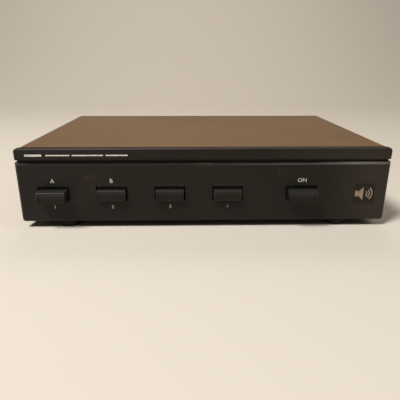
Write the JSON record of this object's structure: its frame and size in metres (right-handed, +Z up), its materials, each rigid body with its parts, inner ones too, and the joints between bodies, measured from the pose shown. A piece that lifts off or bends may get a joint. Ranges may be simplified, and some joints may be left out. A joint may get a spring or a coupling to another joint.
{
  "type": "speaker selector switch",
  "caption": "Low flat box with a moulded front panel, latching push buttons in a row, and spring clip wire terminals at the rear, to switch one amplifier to several speakers.",
  "frame": {"origin": "on the table, under the middle of the box round the whole part", "axes": "+X to the right seen from the front, +Y to the rear, +Z up"},
  "size_m": [0.2172, 0.1616, 0.0479],
  "materials": {
    "fascia_plastic": "satin moulded ABS, near black",
    "cover_paint": "satin black paint on steel",
    "chassis_paint": "satin black paint on steel",
    "button_plastic": "satin moulded plastic, dark grey",
    "plunger_plastic": "natural acetal",
    "switch_plastic": "moulded black",
    "terminal_plastic": "moulded black",
    "lever_red": "moulded red",
    "lever_black": "moulded black",
    "screw_zinc": "zinc plated",
    "screw_black": "black oxide",
    "foot_rubber": "matte",
    "spring_steel": "drawn wire",
    "contact_tin": "tin plated",
    "board_green": "solder mask on glass fibre board",
    "spacer_nylon": "white nylon",
    "cement": "ceramic case filled with cement"
  },
  "bodies": {
    "case": {"board_screws": "screw_zinc", "board_spacers": "spacer_nylon", "chassis": "chassis_paint", "circuit_board": "board_green", "cover_screws": "screw_black", "fascia": "fascia_plastic", "fascia_screws": "screw_zinc", "foot_front_left": "foot_rubber", "foot_front_right": "foot_rubber", "foot_rear_left": "foot_rubber", "foot_rear_right": "foot_rubber", "protection_resistors": "cement", "return_spring_1": "spring_steel", "return_spring_2": "spring_steel", "return_spring_3": "spring_steel", "return_spring_4": "spring_steel", "return_spring_5": "spring_steel", "switch_body_1": "switch_plastic", "switch_body_2": "switch_plastic", "switch_body_3": "switch_plastic", "switch_body_4": "switch_plastic", "switch_body_5": "switch_plastic", "terminal_contacts": "contact_tin", "terminal_housing_1": "terminal_plastic", "terminal_housing_2": "terminal_plastic", "terminal_housing_3": "terminal_plastic", "terminal_housing_4": "terminal_plastic", "terminal_housing_5": "terminal_plastic", "top_cover": "cover_paint"},
    "push_1": {"button_1": "button_plastic", "plunger_1": "plunger_plastic"},
    "push_2": {"button_2": "button_plastic", "plunger_2": "plunger_plastic"},
    "push_3": {"button_3": "button_plastic", "plunger_3": "plunger_plastic"},
    "push_4": {"button_4": "button_plastic", "plunger_4": "plunger_plastic"},
    "push_5": {"button_5": "button_plastic", "plunger_5": "plunger_plastic"},
    "clip_1": {"lever_1": "lever_red"},
    "clip_2": {"lever_2": "lever_black"},
    "clip_3": {"lever_3": "lever_red"},
    "clip_4": {"lever_4": "lever_black"},
    "clip_5": {"lever_5": "lever_red"},
    "clip_6": {"lever_6": "lever_black"},
    "clip_7": {"lever_7": "lever_red"},
    "clip_8": {"lever_8": "lever_black"},
    "clip_9": {"lever_9": "lever_red"},
    "clip_10": {"lever_10": "lever_black"},
    "clip_11": {"lever_11": "lever_red"},
    "clip_12": {"lever_12": "lever_black"},
    "clip_13": {"lever_13": "lever_red"},
    "clip_14": {"lever_14": "lever_black"},
    "clip_15": {"lever_15": "lever_red"},
    "clip_16": {"lever_16": "lever_black"},
    "clip_17": {"lever_17": "lever_red"},
    "clip_18": {"lever_18": "lever_black"},
    "clip_19": {"lever_19": "lever_red"},
    "clip_20": {"lever_20": "lever_black"}
  },
  "joints": [
    {"name": "button_1_slide", "type": "slide", "parent": "case", "child": "push_1", "axis": [0, 1, 0], "range_m": [0, 0.005], "stiffness_N_per_m": 250, "deforming": ["return_spring_1"]},
    {"name": "button_2_slide", "type": "slide", "parent": "case", "child": "push_2", "axis": [0, 1, 0], "range_m": [-0.004, 0.001], "stiffness_N_per_m": 250, "deforming": ["return_spring_2"]},
    {"name": "button_3_slide", "type": "slide", "parent": "case", "child": "push_3", "axis": [0, 1, 0], "range_m": [-0.004, 0.001], "stiffness_N_per_m": 250, "deforming": ["return_spring_3"]},
    {"name": "button_4_slide", "type": "slide", "parent": "case", "child": "push_4", "axis": [0, 1, 0], "range_m": [-0.004, 0.001], "stiffness_N_per_m": 250, "deforming": ["return_spring_4"]},
    {"name": "button_5_slide", "type": "slide", "parent": "case", "child": "push_5", "axis": [0, 1, 0], "range_m": [0, 0.005], "stiffness_N_per_m": 250, "deforming": ["return_spring_5"]},
    {"name": "lever_1_hinge", "type": "hinge", "parent": "case", "child": "clip_1", "pos_m": [-0.0945, 0.0663, 0.0287], "axis": [-1, 0, 0], "range_deg": [0, 14], "stiffness_Nm_per_rad": 0.05},
    {"name": "lever_2_hinge", "type": "hinge", "parent": "case", "child": "clip_2", "pos_m": [-0.0855, 0.0663, 0.0287], "axis": [-1, 0, 0], "range_deg": [0, 14], "stiffness_Nm_per_rad": 0.05},
    {"name": "lever_3_hinge", "type": "hinge", "parent": "case", "child": "clip_3", "pos_m": [-0.0765, 0.0663, 0.0287], "axis": [-1, 0, 0], "range_deg": [0, 14], "stiffness_Nm_per_rad": 0.05},
    {"name": "lever_4_hinge", "type": "hinge", "parent": "case", "child": "clip_4", "pos_m": [-0.0675, 0.0663, 0.0287], "axis": [-1, 0, 0], "range_deg": [0, 14], "stiffness_Nm_per_rad": 0.05},
    {"name": "lever_5_hinge", "type": "hinge", "parent": "case", "child": "clip_5", "pos_m": [-0.054, 0.0663, 0.0287], "axis": [-1, 0, 0], "range_deg": [0, 14], "stiffness_Nm_per_rad": 0.05},
    {"name": "lever_6_hinge", "type": "hinge", "parent": "case", "child": "clip_6", "pos_m": [-0.045, 0.0663, 0.0287], "axis": [-1, 0, 0], "range_deg": [0, 14], "stiffness_Nm_per_rad": 0.05},
    {"name": "lever_7_hinge", "type": "hinge", "parent": "case", "child": "clip_7", "pos_m": [-0.036, 0.0663, 0.0287], "axis": [-1, 0, 0], "range_deg": [0, 14], "stiffness_Nm_per_rad": 0.05},
    {"name": "lever_8_hinge", "type": "hinge", "parent": "case", "child": "clip_8", "pos_m": [-0.027, 0.0663, 0.0287], "axis": [-1, 0, 0], "range_deg": [0, 14], "stiffness_Nm_per_rad": 0.05},
    {"name": "lever_9_hinge", "type": "hinge", "parent": "case", "child": "clip_9", "pos_m": [-0.0135, 0.0663, 0.0287], "axis": [-1, 0, 0], "range_deg": [0, 14], "stiffness_Nm_per_rad": 0.05},
    {"name": "lever_10_hinge", "type": "hinge", "parent": "case", "child": "clip_10", "pos_m": [-0.0045, 0.0663, 0.0287], "axis": [-1, 0, 0], "range_deg": [0, 14], "stiffness_Nm_per_rad": 0.05},
    {"name": "lever_11_hinge", "type": "hinge", "parent": "case", "child": "clip_11", "pos_m": [0.0045, 0.0663, 0.0287], "axis": [-1, 0, 0], "range_deg": [0, 14], "stiffness_Nm_per_rad": 0.05},
    {"name": "lever_12_hinge", "type": "hinge", "parent": "case", "child": "clip_12", "pos_m": [0.0135, 0.0663, 0.0287], "axis": [-1, 0, 0], "range_deg": [0, 14], "stiffness_Nm_per_rad": 0.05},
    {"name": "lever_13_hinge", "type": "hinge", "parent": "case", "child": "clip_13", "pos_m": [0.027, 0.0663, 0.0287], "axis": [-1, 0, 0], "range_deg": [0, 14], "stiffness_Nm_per_rad": 0.05},
    {"name": "lever_14_hinge", "type": "hinge", "parent": "case", "child": "clip_14", "pos_m": [0.036, 0.0663, 0.0287], "axis": [-1, 0, 0], "range_deg": [0, 14], "stiffness_Nm_per_rad": 0.05},
    {"name": "lever_15_hinge", "type": "hinge", "parent": "case", "child": "clip_15", "pos_m": [0.045, 0.0663, 0.0287], "axis": [-1, 0, 0], "range_deg": [0, 14], "stiffness_Nm_per_rad": 0.05},
    {"name": "lever_16_hinge", "type": "hinge", "parent": "case", "child": "clip_16", "pos_m": [0.054, 0.0663, 0.0287], "axis": [-1, 0, 0], "range_deg": [0, 14], "stiffness_Nm_per_rad": 0.05},
    {"name": "lever_17_hinge", "type": "hinge", "parent": "case", "child": "clip_17", "pos_m": [0.0675, 0.0663, 0.0287], "axis": [-1, 0, 0], "range_deg": [0, 14], "stiffness_Nm_per_rad": 0.05},
    {"name": "lever_18_hinge", "type": "hinge", "parent": "case", "child": "clip_18", "pos_m": [0.0765, 0.0663, 0.0287], "axis": [-1, 0, 0], "range_deg": [0, 14], "stiffness_Nm_per_rad": 0.05},
    {"name": "lever_19_hinge", "type": "hinge", "parent": "case", "child": "clip_19", "pos_m": [0.0855, 0.0663, 0.0287], "axis": [-1, 0, 0], "range_deg": [0, 14], "stiffness_Nm_per_rad": 0.05},
    {"name": "lever_20_hinge", "type": "hinge", "parent": "case", "child": "clip_20", "pos_m": [0.0945, 0.0663, 0.0287], "axis": [-1, 0, 0], "range_deg": [0, 14], "stiffness_Nm_per_rad": 0.05}
  ]
}
